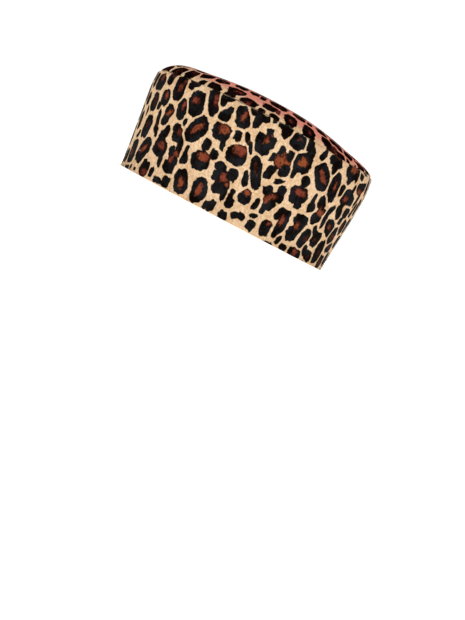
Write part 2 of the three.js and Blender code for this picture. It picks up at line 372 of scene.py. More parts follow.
@dataclass(frozen=True)
class HatForm:
    """The hat's oval, its seam, its dome and its small unevennesses."""

    rim_half_width: float
    rim_half_depth: float
    seam_height: float
    crown_rise: float
    seam_arch: float = 3 * MM
    seam_gap: float = 0.3 * MM
    seam_out: float = BAND_PROFILE[-1].out
    right_dome: float = 0.48
    left_dome: float = 0.8
    right_power: float = 14
    left_power: float = 10
    dent_place: Span = (-54 * MM, -20 * MM)
    dent_size: Span = (22 * MM, 50 * MM)
    dent_depth: float = 1.6 * MM
    swell_height: float = 0.3 * MM
    pucker_height: float = 0.32 * MM
    pucker_count: int = 46
    pucker_reach: float = 5 * MM
    back_seam_depth: float = 0.9 * MM
    back_seam_width: float = 1.3 * MM
    left_lift: float = 3.0 * MM
    lifted: Span = (62 * MM, 96 * MM)
    drawn_in: Span = (20 * MM, 90 * MM)
    outer_depths: Span = (2.3 * MM, 1.7 * MM)
    girth_out: float = 3 * MM
    girth_steps: int = 2881

    @classmethod
    def from_frame(cls) -> "HatForm":
        """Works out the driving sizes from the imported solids' boxes."""
        band_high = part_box("side_band")[1]
        tip_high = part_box("crown_tip")[1]
        widest = max(row.out for row in BAND_PROFILE)
        seam_height = band_high.z + cls.seam_gap / 2 - cls.seam_arch
        return cls(
            rim_half_width=band_high.x - widest,
            rim_half_depth=band_high.y - widest,
            seam_height=seam_height,
            crown_rise=tip_high.z - seam_height,
        )

    @property
    def band_top(self) -> float:
        """The height of the band's upper edge at its sides."""
        return self.seam_height - self.seam_gap / 2

    def half_sizes(self, out: float) -> tuple[float, float]:
        """The oval's half width and half depth, `out` beyond the rim's oval."""
        return self.rim_half_width + out, self.rim_half_depth + out

    def ring(self, height: float, out: float) -> Ring:
        """A ring `out` beyond the rim's oval."""
        return Ring(height, *self.half_sizes(out))

    def tip_ring(self, height: float, share: float) -> Ring:
        """A ring at a share of the way from the middle of the tip out to the seam."""
        half_width, half_depth = self.half_sizes(self.seam_out)
        return Ring(height, share * half_width, share * half_depth)

    def band_out(self, up: np.ndarray | float) -> np.ndarray | float:
        """How far out the band's outer side stands at a share of its height."""
        return np.interp(up, [row.up for row in BAND_PROFILE], [row.out for row in BAND_PROFILE])

    def inwards(self, points: np.ndarray) -> np.ndarray:
        """How far inwards each point of the band is from the band's outer side."""
        x, y, z = points.T
        away = np.hypot(x, y)
        rim = away / np.hypot(x / self.rim_half_width, y / self.rim_half_depth)
        up = z / (self.band_top + self.arch(self.turns(points)))
        return self.band_out(up) - (away - rim)

    def band_outside(self, points: np.ndarray) -> np.ndarray:
        """1 on the band's outer side and on its edges, and 0 on its inner side."""
        return smooth_step(*self.outer_depths, self.inwards(points))

    def turns(self, points: np.ndarray) -> np.ndarray:
        """The angle of each point round the hat, 0 at the front and growing towards +X."""
        return np.arctan2(points[:, 0] / self.rim_half_width, -points[:, 1] / self.rim_half_depth)

    def tip_shares(self, points: np.ndarray) -> np.ndarray:
        """How far out each point of the tip is, 0 in the middle and 1 at the seam."""
        half_width, half_depth = self.half_sizes(self.seam_out)
        return np.hypot(points[:, 0] / half_width, points[:, 1] / half_depth)

    def arch(self, turns: np.ndarray) -> np.ndarray:
        """How much the seam rises at each angle round the hat."""
        return self.seam_arch * np.cos(turns) ** 2

    def dome_height(self, share: np.ndarray, dome: np.ndarray, power: np.ndarray) -> np.ndarray:
        """The crown's height at a share of the way out, which loses `dome` of its rise slowly and the
        rest near the seam."""
        fall = dome * share**2 + (1 - dome) * share**power
        return self.seam_height + self.crown_rise * (1 - fall)

    def even_dome_height(self, share: np.ndarray) -> np.ndarray:
        """The height of a dome that is the same all round, as the operators first make it."""
        dome = (self.left_dome + self.right_dome) / 2
        power = (self.left_power + self.right_power) / 2
        return self.dome_height(share, dome, power)

    def even_dome_slope(self, share: float) -> float:
        """How steeply the even dome rises outwards at a share, so it is below 0."""
        step = 0.002
        rise = self.even_dome_height(share + step) - self.even_dome_height(share - step)
        return rise / (2 * step * sum(self.half_sizes(self.seam_out)) / 2)

    def dome_lift(self, points: np.ndarray) -> np.ndarray:
        """How much higher the real, uneven tip is than the even dome at each point."""
        turns = self.turns(points)
        share = np.minimum(self.tip_shares(points), 1)
        left = (1 + np.sin(turns)) / 2
        dome = self.right_dome + (self.left_dome - self.right_dome) * left
        power = self.right_power + (self.left_power - self.right_power) * left
        height = self.dome_height(share, dome, power)
        across = (points[:, 0] - self.dent_place[0]) / self.dent_size[0]
        deep = (points[:, 1] - self.dent_place[1]) / self.dent_size[1]
        dent = self.dent_depth * np.exp(-(across**2) - deep**2)
        return height - self.even_dome_height(share) + self.arch(turns) * share**2 - dent

    def unevenness(self, points: np.ndarray) -> np.ndarray:
        """The small swells of the hide and the puckers beside the seam, measured outwards."""
        x, y, z = (points / MM).T
        bend = np.sin(z / SWELL_BEND_LENGTH)
        swell = sum(
            row.height
            * np.sin(x / row.along_x + y / row.along_y + z / row.along_z + row.start + row.bend * bend)
            for row in SWELLS
        )
        turns = self.turns(points)
        from_seam = np.abs(points[:, 2] - self.seam_height - self.arch(turns))
        near_seam = np.exp(-((from_seam / self.pucker_reach) ** 2))
        # Slow waves round the hat make the puckers drift and fade, so that no two are alike.
        drift = 1.7 * np.sin(3 * turns + 0.5) + 0.9 * np.sin(7 * turns)
        pucker = np.sin(self.pucker_count * turns + drift) * (0.6 + 0.4 * np.sin(5 * turns + 1))
        return self.swell_height * swell / SWELLS_TOGETHER + self.pucker_height * pucker * near_seam

    def settled(self, points: np.ndarray) -> np.ndarray:
        """Where the points come to once the soft hat has settled, drawn in at its two ends."""
        x, y, z = points.T
        up = z / (self.band_top + self.arch(self.turns(points)))
        ups = [row.up for row in SETTLED_ENDS]
        right_in = np.interp(up, ups, [row.right_in for row in SETTLED_ENDS])
        left_in = np.interp(up, ups, [row.left_in for row in SETTLED_ENDS])
        start, end = self.drawn_in
        across = right_in * smooth_step(start, -end, x) - left_in * smooth_step(-start, end, x)
        lift = self.left_lift * smooth_step(*self.lifted, x) * np.clip(up, 0, 1) ** 2
        return np.column_stack([x + across, y, z + lift])

    def girth_places(self, points: np.ndarray) -> np.ndarray:
        """How far along the band each point is from the middle of the front, in millimetres."""
        steps = np.linspace(-math.pi, math.pi, self.girth_steps)
        half_width, half_depth = self.half_sizes(self.girth_out)
        x, y = half_width * np.sin(steps), -half_depth * np.cos(steps)
        lengths = np.concatenate([[0], np.cumsum(np.hypot(np.diff(x), np.diff(y)))])
        lengths -= lengths[-1] / 2
        return np.interp(self.turns(points), steps, lengths) / MM


class MarkKind(NamedTuple):
    """A kind of mark for the stretches that aren't charted. Sizes are in millimetres, `cored` is the
    share that has a brown part, and `lobes` is the most black parts beside the main one."""

    width: float
    height: float
    cored: float
    lobes: int
    tries: int
    gap: float


SCATTERED_KINDS = (
    MarkKind(width=12.5, height=16.0, cored=0.9, lobes=3, tries=700, gap=3.2),
    MarkKind(width=10.0, height=13.0, cored=0.75, lobes=2, tries=1100, gap=2.6),
    MarkKind(width=6.4, height=9.0, cored=0.1, lobes=1, tries=1600, gap=1.7),
    MarkKind(width=4.2, height=6.0, cored=0.0, lobes=0, tries=1800, gap=1.5),
)


# A place beyond the grid is read just inside its last cell, which has a further value on each side.
LAST_CELL = 1.001


@dataclass
class PrintPanel:
    """The leopard print on one panel of hide, worked out on a fine grid.

    Places are in millimetres. `first` is how far a place is inside the nearest mark and `second` how far
    inside the next one, and `core` is how far it is inside a brown part, all negative outside. What is
    said of lobes and cores is for scattered marks alone, as shares of the mark that they belong to.
    """

    low: Span
    high: Span
    seed: int
    pitch: float = 0.4
    far: float = 3.0
    warp: float = 0.3
    warp_cells: Span = (6.5, 2.8)
    fine_warp: float = 0.55
    rag: float = 0.85
    rag_cells: Span = (1.9, 1.0)
    fine_rag: float = 0.6
    wobble: float = 0.055
    wobble_waves: tuple[int, ...] = (2, 3, 4, 5)
    boxiness: Span = (2.3, 3.3)
    part_reach: float = 0.7
    channel: float = 1.9
    growth: float = 0.35
    dusk: float = 0.15
    size_spread: Span = (0.8, 1.2)
    lean_mean: float = 5
    lean_spread: float = 18
    lobe_place: float = 0.42
    lobe_widths: Span = (0.35, 0.6)
    lobe_heights: Span = (0.35, 0.55)
    lobe_lean_spread: float = 30
    core_shift: float = 0.12
    core_widths: Span = (0.35, 0.6)
    core_heights: Span = (0.3, 0.5)
    bright_cores: float = 0.7
    marks: list[Part] = field(default_factory=list)

    def __post_init__(self) -> None:
        """Lays out the grid, its gentle distortion and the raggedness of the edges."""
        self.random = np.random.default_rng(self.seed)
        self.along = np.arange(self.low[0], self.high[0] + self.pitch, self.pitch)
        self.up = np.arange(self.low[1], self.high[1] + self.pitch, self.pitch)
        shape = (len(self.up), len(self.along))
        self.first = np.full(shape, -self.far)
        self.second = np.full(shape, -self.far)
        self.core = np.full(shape, -self.far)
        self.warp_along = self.warp * self.two_noises(self.warp_cells, self.fine_warp)
        self.warp_up = self.warp * self.two_noises(self.warp_cells, self.fine_warp)
        self.ragged = self.rag * self.two_noises(self.rag_cells, self.fine_rag)

    def two_noises(self, cells: Span, fine_share: float) -> np.ndarray:
        """A coarse noise, and a share of a finer one."""
        return self.soft_noise(cells[0]) + fine_share * self.soft_noise(cells[1])

    def soft_noise(self, cell: float) -> np.ndarray:
        """Smooth random values between about -1 and 1 over the grid.

        Args:
            cell: The distance between the random values, in millimetres.

        Returns:
            One value for each place of the grid.
        """
        columns = (self.along - self.low[0]) / cell
        rows = (self.up - self.low[1]) / cell
        lattice = self.random.uniform(-1, 1, (int(rows[-1]) + 2, int(columns[-1]) + 2))
        column, row = columns.astype(int), rows.astype(int)
        ease_column = smooth_step(0, 1, columns - column)
        ease_row = smooth_step(0, 1, rows - row)[:, None]
        lower = lattice[row][:, column] * (1 - ease_column) + lattice[row][:, column + 1] * ease_column
        upper = lattice[row + 1][:, column] * (1 - ease_column)
        upper = upper + lattice[row + 1][:, column + 1] * ease_column
        return lower * (1 - ease_row) + upper * ease_row

    def window(self, parts: tuple[Part, ...]) -> tuple[slice, slice]:
        """The part of the grid round a mark, as rows and columns."""
        reaches = [self.part_reach * max(part.width, part.height) + self.far for part in parts]
        lefts = [part.along - reach for part, reach in zip(parts, reaches)]
        rights = [part.along + reach for part, reach in zip(parts, reaches)]
        bottoms = [part.up - reach for part, reach in zip(parts, reaches)]
        tops = [part.up + reach for part, reach in zip(parts, reaches)]
        row = np.searchsorted(self.up, (min(bottoms), max(tops)))
        column = np.searchsorted(self.along, (min(lefts), max(rights)))
        return slice(*row), slice(*column)

    def inside(self, part: Part, window: tuple[slice, slice]) -> np.ndarray:
        """How far each place of a window is inside a slightly boxy and uneven oval.

        Args:
            part: The oval.
            window: The rows and columns of the grid to work it out for.

        Returns:
            The distance from its outline in millimetres, negative outside.
        """
        rows, columns = window
        across = self.along[columns][None, :] + self.warp_along[window] - part.along
        high = self.up[rows][:, None] + self.warp_up[window] - part.up
        cosine, sine = math.cos(math.radians(part.lean)), math.sin(math.radians(part.lean))
        right = (across * cosine + high * sine) / (part.width / 2)
        top = (high * cosine - across * sine) / (part.height / 2)
        power = self.random.uniform(*self.boxiness)
        share = (np.abs(right) ** power + np.abs(top) ** power) ** (1 / power)
        angle = np.arctan2(top, right)
        edge = 1
        for waves in self.wobble_waves:
            height = self.wobble * self.random.normal() * 2 / (waves + 1)
            edge = edge + height * np.cos(waves * angle + self.random.uniform(0, math.tau))
        inside = (edge - share) * math.sqrt(part.width * part.height) / 2
        return np.clip(inside + self.ragged[window], -self.far, self.far)

    def add(self, *parts: Part) -> None:
        """Prints one mark, whose later parts lie over the earlier ones."""
        window = self.window(parts)
        mark = np.full(self.first[window].shape, -self.far)
        core = mark.copy()
        for part in parts:
            inside = self.inside(part, window)
            if part.role is NOTCH:
                mark = np.minimum(mark, -inside)
                continue
            mark = np.maximum(mark, inside)
            if part.role is CORE:
                core = np.maximum(core, inside)
            elif part.role is DUSK:
                core = np.maximum(core, np.minimum(inside, self.dusk))
            else:
                core = np.minimum(core, -inside)
        first = self.first[window]
        self.core[window] = np.where(mark > first, core, self.core[window])
        self.second[window] = np.maximum(self.second[window], np.minimum(first, mark))
        self.first[window] = np.maximum(first, mark)
        self.marks.extend(parts)

    def add_chart(self, chart: tuple[Part, ...]) -> None:
        """Prints the marks of a chart."""
        starts = [place for place, part in enumerate(chart) if part.role is SPOT]
        for start, end in zip(starts, [*starts[1:], len(chart)]):
            self.add(*chart[start:end])

    def has_room(self, mark: Part, gap: float) -> bool:
        """Whether a new mark would keep its distance from those that are there."""
        return all(
            math.hypot(
                (mark.along - other.along) / ((mark.width + other.width) / 2 + gap),
                (mark.up - other.up) / ((mark.height + other.height) / 2 + gap),
            )
            > 1
            for other in self.marks
        )

    def details(self, spot: Part, kind: MarkKind) -> list[Part]:
        """Thinks up the lobes and the brown part of a scattered mark."""
        lobes = int(self.random.integers(0, kind.lobes + 1))
        angles = self.random.uniform(0, math.tau, lobes)
        parts = [
            Part(
                LOBE,
                spot.along + self.lobe_place * spot.width * math.cos(angle),
                spot.up + self.lobe_place * spot.height * math.sin(angle),
                self.random.uniform(*self.lobe_widths) * spot.width,
                self.random.uniform(*self.lobe_heights) * spot.height,
                self.random.normal(0, self.lobe_lean_spread),
            )
            for angle in angles
        ]
        if self.random.random() < kind.cored:
            off_along, off_up = self.random.normal(0, self.core_shift, 2)
            core = Part(
                CORE if self.random.random() < self.bright_cores else DUSK,
                spot.along + off_along * spot.width,
                spot.up + off_up * spot.height,
                self.random.uniform(*self.core_widths) * spot.width,
                self.random.uniform(*self.core_heights) * spot.height,
                spot.lean,
            )
            parts.append(core)
        return parts

    def scatter(self, lows: Span, highs: Span) -> None:
        """Fills the rest of a stretch of the panel with marks, from large to small.

        Args:
            lows: The least `along` and `up` of the stretch.
            highs: The most.
        """
        for kind in SCATTERED_KINDS:
            for _ in range(kind.tries):
                along, up = self.random.uniform(lows, highs)
                wide, high = self.random.uniform(*self.size_spread, 2)
                lean = self.random.normal(self.lean_mean, self.lean_spread)
                spot = Part(SPOT, along, up, kind.width * wide, kind.height * high, lean)
                if self.has_room(spot, kind.gap):
                    self.add(spot, *self.details(spot, kind))

    def read(self, along: np.ndarray, up: np.ndarray) -> tuple[np.ndarray, np.ndarray]:
        """Reads both fields at any places of the panel.

        Args:
            along: The first coordinate of each place.
            up: The second one.

        Returns:
            How far each is inside a mark, with a channel of bare ground between two marks, and how far
            inside a brown part.
        """
        column = np.clip((along - self.low[0]) / self.pitch, 0, len(self.along) - LAST_CELL)
        row = np.clip((up - self.low[1]) / self.pitch, 0, len(self.up) - LAST_CELL)
        c, r = column.astype(int), row.astype(int)
        right, above = column - c, row - r
        found = []
        apart = (self.first - self.second - self.channel) / 2
        for values in (np.minimum(self.first + self.growth, apart), self.core):
            lower = values[r, c] * (1 - right) + values[r, c + 1] * right
            upper = values[r + 1, c] * (1 - right) + values[r + 1, c + 1] * right
            found.append(lower * (1 - above) + upper * above)
        return found[0], found[1]


class Wire:
    """A shader node's output that Python expressions can use like a number."""

    def __init__(self, graph: "Graph", socket: bpy.types.NodeSocket) -> None:
        """Keeps the output and the graph that it belongs to."""
        self.graph = graph
        self.socket = socket

    def __add__(self, other: "Wire | float") -> "Wire":
        """This output plus another."""
        return self.graph.math("ADD", self, other)

    def __radd__(self, other: "Wire | float") -> "Wire":
        """A number plus this output."""
        return self.graph.math("ADD", other, self)

    def __sub__(self, other: "Wire | float") -> "Wire":
        """This output less another."""
        return self.graph.math("SUBTRACT", self, other)

    def __rsub__(self, other: "Wire | float") -> "Wire":
        """A number less this output."""
        return self.graph.math("SUBTRACT", other, self)

    def __mul__(self, other: "Wire | float") -> "Wire":
        """This output times another."""
        return self.graph.math("MULTIPLY", self, other)

    def __rmul__(self, other: "Wire | float") -> "Wire":
        """A number times this output."""
        return self.graph.math("MULTIPLY", other, self)


class Graph:
    """The nodes of one material."""

    def __init__(self, name: str) -> None:
        """Makes an empty material of that name."""
        self.material = bpy.data.materials.new(name)
        self.material.use_nodes = True
        self.tree = self.material.node_tree
        self.tree.nodes.clear()

    def feed(self, socket: bpy.types.NodeSocket, value: object) -> None:
        """Links a wire to a socket, or sets the socket to a value."""
        if isinstance(value, Wire):
            self.tree.links.new(value.socket, socket)
        else:
            socket.default_value = value

    def node(self, kind: str, settings: dict, inputs: dict, output: int = 0) -> Wire:
        """Adds any node.

        Args:
            kind: The node's type, such as ShaderNodeTexNoise.
            settings: Its own properties, which are set first.
            inputs: The values or wires of its sockets, by name or number.
            output: Which of its outputs is wanted.

        Returns:
            That output.
        """
        node = self.tree.nodes.new(kind)
        for name, value in settings.items():
            setattr(node, name, value)
        for key, value in inputs.items():
            self.feed(node.inputs[key], value)
        return Wire(self, node.outputs[output])

    def math(self, operation: str, first: object, second: object) -> Wire:
        """Adds one step of arithmetic."""
        return self.node("ShaderNodeMath", {"operation": operation}, {0: first, 1: second})

    def mix(self, factor: Wire, first: object, second: object) -> Wire:
        """Mixes two colours by a factor."""
        settings = {"data_type": "RGBA", "clamp_factor": True}
        return self.node("ShaderNodeMix", settings, {0: factor, 6: first, 7: second}, 2)

    def tints(self, factor: Wire, first: Colour, second: Colour) -> Wire:
        """Mixes two colours as a screen shows them by a factor."""
        return self.mix(factor, linear_colour(first), linear_colour(second))

    def rise(self, value: Wire, low: float, high: float) -> Wire:
        """Rises smoothly from 0 to 1 as a value goes from low to high."""
        settings = {"interpolation_type": "SMOOTHSTEP"}
        return self.node("ShaderNodeMapRange", settings, {0: value, 1: low, 2: high})

    def attribute(self, name: str) -> Wire:
        """Reads a number that the mesh holds at each vertex."""
        return self.node("ShaderNodeAttribute", {"attribute_name": name}, {}, 2)

    def noise(self, place: Wire, scale: float, detail: float) -> Wire:
        """Reads smooth noise from 0 to 1 at a place, with `scale` waves in each unit."""
        return self.node(
            "ShaderNodeTexNoise", {}, {"Vector": place, "Scale": scale, "Detail": detail}
        )

    def stretched(self, place: Wire, scale: Place) -> Wire:
        """Multiplies a place by a scale for each axis."""
        settings = {"operation": "MULTIPLY"}
        return self.node("ShaderNodeVectorMath", settings, {0: place, 1: scale})

    def surface(self, **inputs: object) -> bpy.types.Material:
        """Ends the graph with a Principled shader.

        Args:
            **inputs: The shader's sockets, with underscores for the spaces in their names.

        Returns:
            The finished material.
        """
        shader = self.tree.nodes.new("ShaderNodeBsdfPrincipled")
        for name, value in inputs.items():
            self.feed(shader.inputs[name.replace("_", " ")], value)
        ending = self.tree.nodes.new("ShaderNodeOutputMaterial")
        self.tree.links.new(shader.outputs[0], ending.inputs["Surface"])
        return self.material


class HairRun(Enum):
    """The axis that the hair lies along, as the noise's waves in a metre along X, Y and Z."""

    DOWN = (2600.0, 2600.0, 420.0)
    FORWARD = (2600.0, 420.0, 2600.0)


class Noise(NamedTuple):
    """A smooth noise on the hide, with its scale and its detail."""

    scale: float
    detail: float


class Mottling(NamedTuple):
    """How strongly the hide's four noises move a value up and down."""

    fibre: float = 0.0
    strand: float = 0.0
    mottle: float = 0.0
    cloud: float = 0.0

    def over(self, start: Wire, noises: list[Wire]) -> Wire:
        """Moves a value by the four noises."""
        for noise, amount in zip(noises, self):
            if amount:
                start = start + (noise - 0.5) * amount
        return start


@dataclass(frozen=True)
class HideFinish:
    """Short-haired hide with a leopard print outside and its plain flesh side inside.

    Its fibre and strand noises are drawn out along the hair, and its mottle, cloud and drift are even.
    Each start is the value that the mottling then moves: how pale the ground is, and how bright a brown
    or a black part. The ground's pink is painted pinkish light that falls on the crown's top, and a black
    part brightens in broad patches towards a lighter dark that is partly the hair's own tone and partly
    painted sheen. Places inside a mark or its brown part are measured in millimetres.
    """

    name: str
    hair: HairRun
    pale: Colour = (250, 222, 187)
    deep: Colour = (214, 172, 124)
    # Painted light: the pink that the ground takes where pinkish light falls on the crown's top.
    pink_light_pale: Colour = (246, 173, 148)
    pink_light_deep: Colour = (217, 128, 110)
    brown: Colour = (58, 24, 17)
    bright_brown: Colour = (152, 80, 47)
    brick: Colour = (136, 62, 46)
    black: Colour = (11, 5, 2)
    # Partly the hair's own tone and partly painted sheen: the lighter dark that black parts brighten
    # towards.
    black_tone_and_sheen: Colour = (34, 35, 38)
    flesh: Colour = (196, 176, 152)
    fibre: Noise = Noise(1.0, 2.0)
    strand: Noise = Noise(0.45, 1.0)
    mottle: Noise = Noise(620.0, 3.0)
    cloud: Noise = Noise(90.0, 2.0)
    drift: Noise = Noise(42.0, 1.0)
    drift_rise: Span = (0.34, 0.66)
    bleed: float = 0.25
    edge_softness: float = 0.14
    edge_mottling: Mottling = Mottling(fibre=0.9, strand=0.5)
    core_rise: Span = (-0.6, 0.7)
    core_mottling: Mottling = Mottling(fibre=1.0, mottle=2.4)
    ground_start: float = 0.5
    ground_mottling: Mottling = Mottling(fibre=1.2, strand=1.0, mottle=1.7, cloud=1.0)
    brown_start: float = 0.03
    brown_mottling: Mottling = Mottling(strand=1.2, mottle=2.5, cloud=2.2)
    brown_gain: float = 0.75
    brown_depth: float = 1.9
    black_start: float = 0.36
    black_mottling: Mottling = Mottling(mottle=2.0, cloud=2.8)
    roughness: float = 0.72
    mark_gloss: float = 0.14
    rough_mottling: Mottling = Mottling(fibre=0.2)
    strand_height: float = 0.8
    bump_strength: float = 0.35
    bump_depth: float = 0.12 * MM
    specular: float = 0.02

    def make(self) -> bpy.types.Material:
        """Builds the material.

        Returns:
            The material, which reads the attributes spot, core, flesh and tone, and the one that holds
            how much painted pink light lies on the ground.
        """
        graph = Graph(self.name)
        place = graph.node("ShaderNodeTexCoord", {}, {}, 3)
        drawn_out = graph.stretched(place, self.hair.value)
        noises = [graph.noise(drawn_out, *noise) for noise in (self.fibre, self.strand)]
        noises += [graph.noise(place, *noise) for noise in (self.mottle, self.cloud)]
        fibre, strand, mottle, _ = noises
        core = graph.attribute("core")
        tone = graph.attribute("tone")

        edge = self.edge_mottling.over(graph.attribute("spot") + self.bleed, noises)
        marked = graph.rise(edge, -self.edge_softness, self.edge_softness)
        cored = graph.rise(self.core_mottling.over(core, noises), *self.core_rise)

        grain = self.ground_mottling.over(tone + self.ground_start, noises)
        tan = graph.tints(grain, self.deep, self.pale)
        # Painted light: the ground is painted pink where pinkish light falls on the crown's top.
        pink = graph.tints(grain, self.pink_light_deep, self.pink_light_pale)
        ground = graph.mix(graph.attribute("painted_pink_light"), tan, pink)

        drift = graph.rise(graph.noise(place, *self.drift), *self.drift_rise)
        bright = graph.tints(drift, self.bright_brown, self.brick)
        depth = graph.rise(core, 0.0, self.brown_depth)
        rich = self.brown_mottling.over(self.brown_gain * depth + self.brown_start + tone, noises)
        brown = graph.mix(rich, linear_colour(self.brown), bright)
        # Painted sheen, partly also the hair's own tone: the black parts brighten in broad patches.
        glint = self.black_mottling.over(tone + self.black_start, noises)
        black = graph.tints(glint, self.black, self.black_tone_and_sheen)

        outside = graph.mix(marked, ground, graph.mix(cored, black, brown))
        suede = graph.tints(mottle, self.flesh, self.pale)
        relief = {
            "Strength": self.bump_strength,
            "Distance": self.bump_depth,
            "Height": fibre + self.strand_height * strand,
        }
        return graph.surface(
            Base_Color=graph.mix(graph.attribute("flesh"), outside, suede),
            Roughness=self.rough_mottling.over(self.roughness - self.mark_gloss * marked, noises),
            Normal=graph.node("ShaderNodeBump", {}, relief),
            Specular_IOR_Level=self.specular,
        )


@dataclass(frozen=True)
class FloorFinish:
    """A matt, nearly white studio floor, which glows so that it is as white as the surroundings.

    The glow rises from `near` to `far`, measured from the middle of the hat.
    """

    name: str = "studio_floor"
    pale: Colour = (250, 250, 250)
    near: float = 0.078
    far: float = 0.103
    glow: float = 0.65
    roughness: float = 0.9
    specular: float = 0.1

    def make(self) -> bpy.types.Material:
        """Builds the material."""
        graph = Graph(self.name)
        place = graph.node("ShaderNodeTexCoord", {}, {}, 3)
        distance = graph.node("ShaderNodeVectorMath", {"operation": "LENGTH"}, {0: place}, 1)
        glowing = graph.rise(distance, self.near, self.far)
        return graph.surface(
            Base_Color=linear_colour(self.pale),
            Roughness=self.roughness,
            Specular_IOR_Level=self.specular,
            Emission_Color=graph.mix(glowing, (0, 0, 0, 1), (self.glow, self.glow, self.glow, 1)),
            Emission_Strength=1.0,
        )


def deselect_all() -> None:
    """Leaves nothing selected, because an operator acts on all that is."""
    for thing in bpy.context.selected_objects:
        thing.select_set(False)


def read_points(mesh: bpy.types.Mesh) -> np.ndarray:
    """The vertices' places, one row each."""
    places = np.empty(len(mesh.vertices) * 3)
    mesh.vertices.foreach_get("co", places)
    return places.reshape(-1, 3)


def write_points(mesh: bpy.types.Mesh, points: np.ndarray) -> None:
    """Moves the vertices to new places."""
    mesh.vertices.foreach_set("co", points.ravel())
    mesh.update()


def put_in_order(mesh: bpy.types.Mesh) -> None:
    """Orders the vertices and the faces by their places, to a tenth of a micrometre.

    The operators leave them in another order on each run, and then the hair would grow in other places.
    """
    points = read_points(mesh)
    order = np.lexsort(np.round(points, decimals=7).T)
    ranks = np.argsort(order)
    faces = []
    for face in mesh.polygons:
        corners = ranks[list(face.vertices)]
        faces.append(np.roll(corners, -corners.argmin()).tolist())
    mesh.clear_geometry()
    mesh.from_pydata(points[order], [], sorted(faces))


class RingModel:
    """An oval form that is extruded ring by ring, as a turner would cut it."""

    def __init__(self, name: str, columns: int, first: Ring) -> None:
        """Adds the first ring.

        Args:
            name: The new object's name.
            columns: How many vertices each ring has.
            first: The first ring.
        """
        self.at = first
        deselect_all()
        bpy.ops.mesh.primitive_circle_add(vertices=columns, radius=1.0, fill_type="NOTHING")
        self.thing = bpy.context.object
        self.thing.name = name
        self.thing.data.name = name
        bpy.ops.object.mode_set(mode="EDIT")
        bpy.ops.mesh.select_all(action="SELECT")
        scale = (first.half_width, first.half_depth, 1)
        bpy.ops.transform.resize(value=scale, center_override=(0, 0, 0))
        bpy.ops.transform.translate(value=(0, 0, first.height))

    def extrude_to(self, ring: Ring) -> None:
        """Extrudes the last ring to a new one."""
        rise = {"value": (0, 0, ring.height - self.at.height)}
        bpy.ops.mesh.extrude_region_move(TRANSFORM_OT_translate=rise)
        across = ring.half_width / self.at.half_width
        deep = ring.half_depth / self.at.half_depth
        bpy.ops.transform.resize(value=(across, deep, 1), center_override=(0, 0, 0))
        self.at = ring

    def select_open_edges(self) -> None:
        """Selects the rings that are still open."""
        bpy.ops.mesh.select_mode(type="EDGE")
        bpy.ops.mesh.select_all(action="DESELECT")
        bpy.ops.mesh.select_non_manifold(extend=False)

    def join_ends(self) -> None:
        """Bridges the last ring to the first one, which closes the section."""
        self.select_open_edges()
        bpy.ops.mesh.bridge_edge_loops()

    def close_poles(self) -> None:
        """Draws the last ring and then the first one together into one point each."""
        bpy.ops.mesh.merge(type="CENTER")
        self.select_open_edges()
        bpy.ops.mesh.merge(type="CENTER")

    def finish(self) -> bpy.types.Object:
        """Turns the faces outwards, leaves edit mode and puts the mesh in order."""
        bpy.ops.mesh.select_mode(type="VERT")
        bpy.ops.mesh.select_all(action="SELECT")
        bpy.ops.mesh.normals_make_consistent(inside=False)
        bpy.ops.object.mode_set(mode="OBJECT")
        put_in_order(self.thing.data)
        return self.thing


def read_normals(mesh: bpy.types.Mesh) -> np.ndarray:
    """The vertices' normals, one row each."""
    normals = np.empty(len(mesh.vertices) * 3)
    mesh.vertices.foreach_get("normal", normals)
    return normals.reshape(-1, 3)


def write_values(mesh: bpy.types.Mesh, name: str, values: np.ndarray) -> None:
    """Stores a number at each vertex, for the materials to read."""
    layer = mesh.attributes.new(name, "FLOAT", "POINT")
    layer.data.foreach_set("value", np.asarray(values, np.float32))


def write_map(mesh: bpy.types.Mesh, across: np.ndarray, up: np.ndarray) -> None:
    """Lays the vertices out in the unit square, as the map that a bake draws on."""
    corners = np.empty(len(mesh.loops), int)
    mesh.loops.foreach_get("vertex_index", corners)
    layer = mesh.uv_layers.new(name=BAKE_MAP)
    layer.uv.foreach_set("vector", np.column_stack([across, up])[corners].ravel())


def subdivide(thing: bpy.types.Object, levels: int) -> None:
    """Rounds a cage with a Subdivision Surface modifier, applies it and shades it smooth."""
    modifier = thing.modifiers.new("rounding", "SUBSURF")
    modifier.levels = levels
    modifier.render_levels = levels
    bpy.context.view_layer.objects.active = thing
    bpy.ops.object.modifier_apply(modifier=modifier.name)
    thing.select_set(True)
    bpy.ops.object.shade_smooth()


class SectionRow(NamedTuple):
    """A corner of a section: how far above a level it is, and how far out from the rim's oval."""

    above: float
    out: float


RIM_OUTSIDE = (
    SectionRow(0.0, -0.6 * MM),
    SectionRow(0.25 * MM, -0.12 * MM),
    SectionRow(1.1 * MM, 0.02 * MM),
)
# These lie above the band's top edge.
BAND_TOP = (
    SectionRow(-1.8 * MM, 5.4 * MM),
    SectionRow(-0.75 * MM, 4.8 * MM),
    SectionRow(-0.12 * MM, 3.8 * MM),
    SectionRow(-0.1 * MM, 2.3 * MM),
)
RIM_INSIDE = (
    SectionRow(0.0, -2.6 * MM),
    SectionRow(0.0, -1.6 * MM),
)
# These lie above the tip's own edge, and go from its outer side round it and down inside the band.
TIP_EDGE = (
    SectionRow(1.0 * MM, 3.7 * MM),
    SectionRow(0.4 * MM, 4.0 * MM),
    SectionRow(0.03 * MM, 3.5 * MM),
    SectionRow(-0.04 * MM, 2.6 * MM),
    SectionRow(-0.2 * MM, 1.95 * MM),
    SectionRow(-1.2 * MM, 1.6 * MM),
    SectionRow(-7.6 * MM, 1.6 * MM),
    SectionRow(-8.0 * MM, 1.0 * MM),
    SectionRow(-7.8 * MM, 0.2 * MM),
    SectionRow(-6.5 * MM, -0.2 * MM),
    SectionRow(-2.5 * MM, -0.6 * MM),
)


